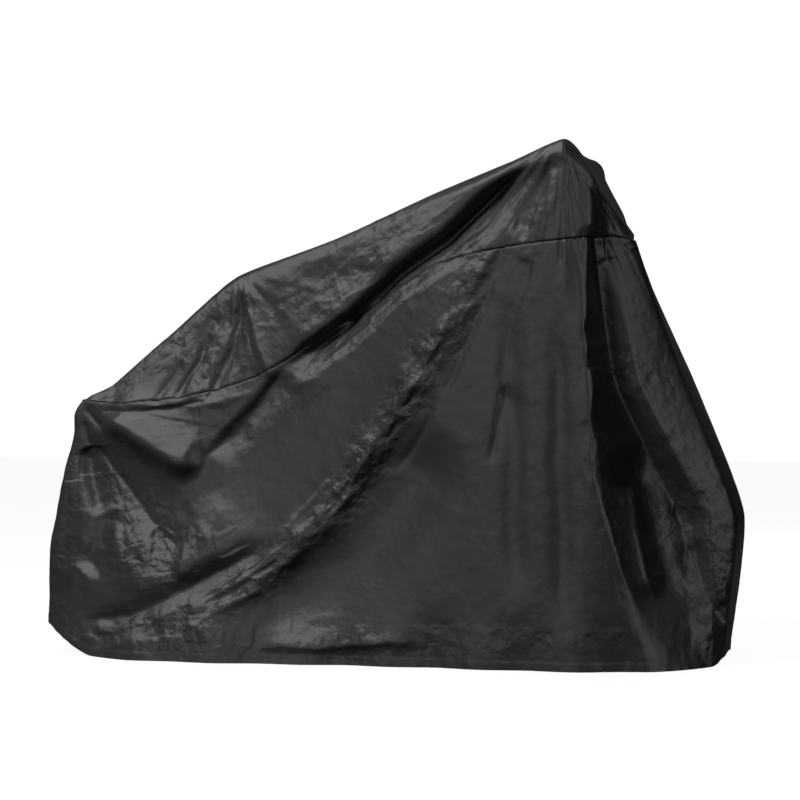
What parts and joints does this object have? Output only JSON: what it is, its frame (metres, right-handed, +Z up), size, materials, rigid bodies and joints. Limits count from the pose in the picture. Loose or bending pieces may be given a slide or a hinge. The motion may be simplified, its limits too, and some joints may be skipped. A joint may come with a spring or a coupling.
{
  "type": "bicycle cover",
  "caption": "Fitted cover of thin coated cloth draped over an upright bicycle, with a seamed top panel, long slanting folds and an elastic hem on the ground.",
  "frame": {"origin": "middle of the cover's box, on the ground at the hem", "axes": "+X towards the front of the covered bicycle, +Y towards its far side, +Z up"},
  "size_m": [1.6892, 0.6198, 1.2065],
  "materials": {
    "cover_cloth": "semi-gloss coated taffeta, crumpled"
  },
  "bodies": {
    "root": {"top_panel": "cover_cloth", "side_panel_near": "cover_cloth", "side_panel_far": "cover_cloth"}
  },
  "joints": []
}
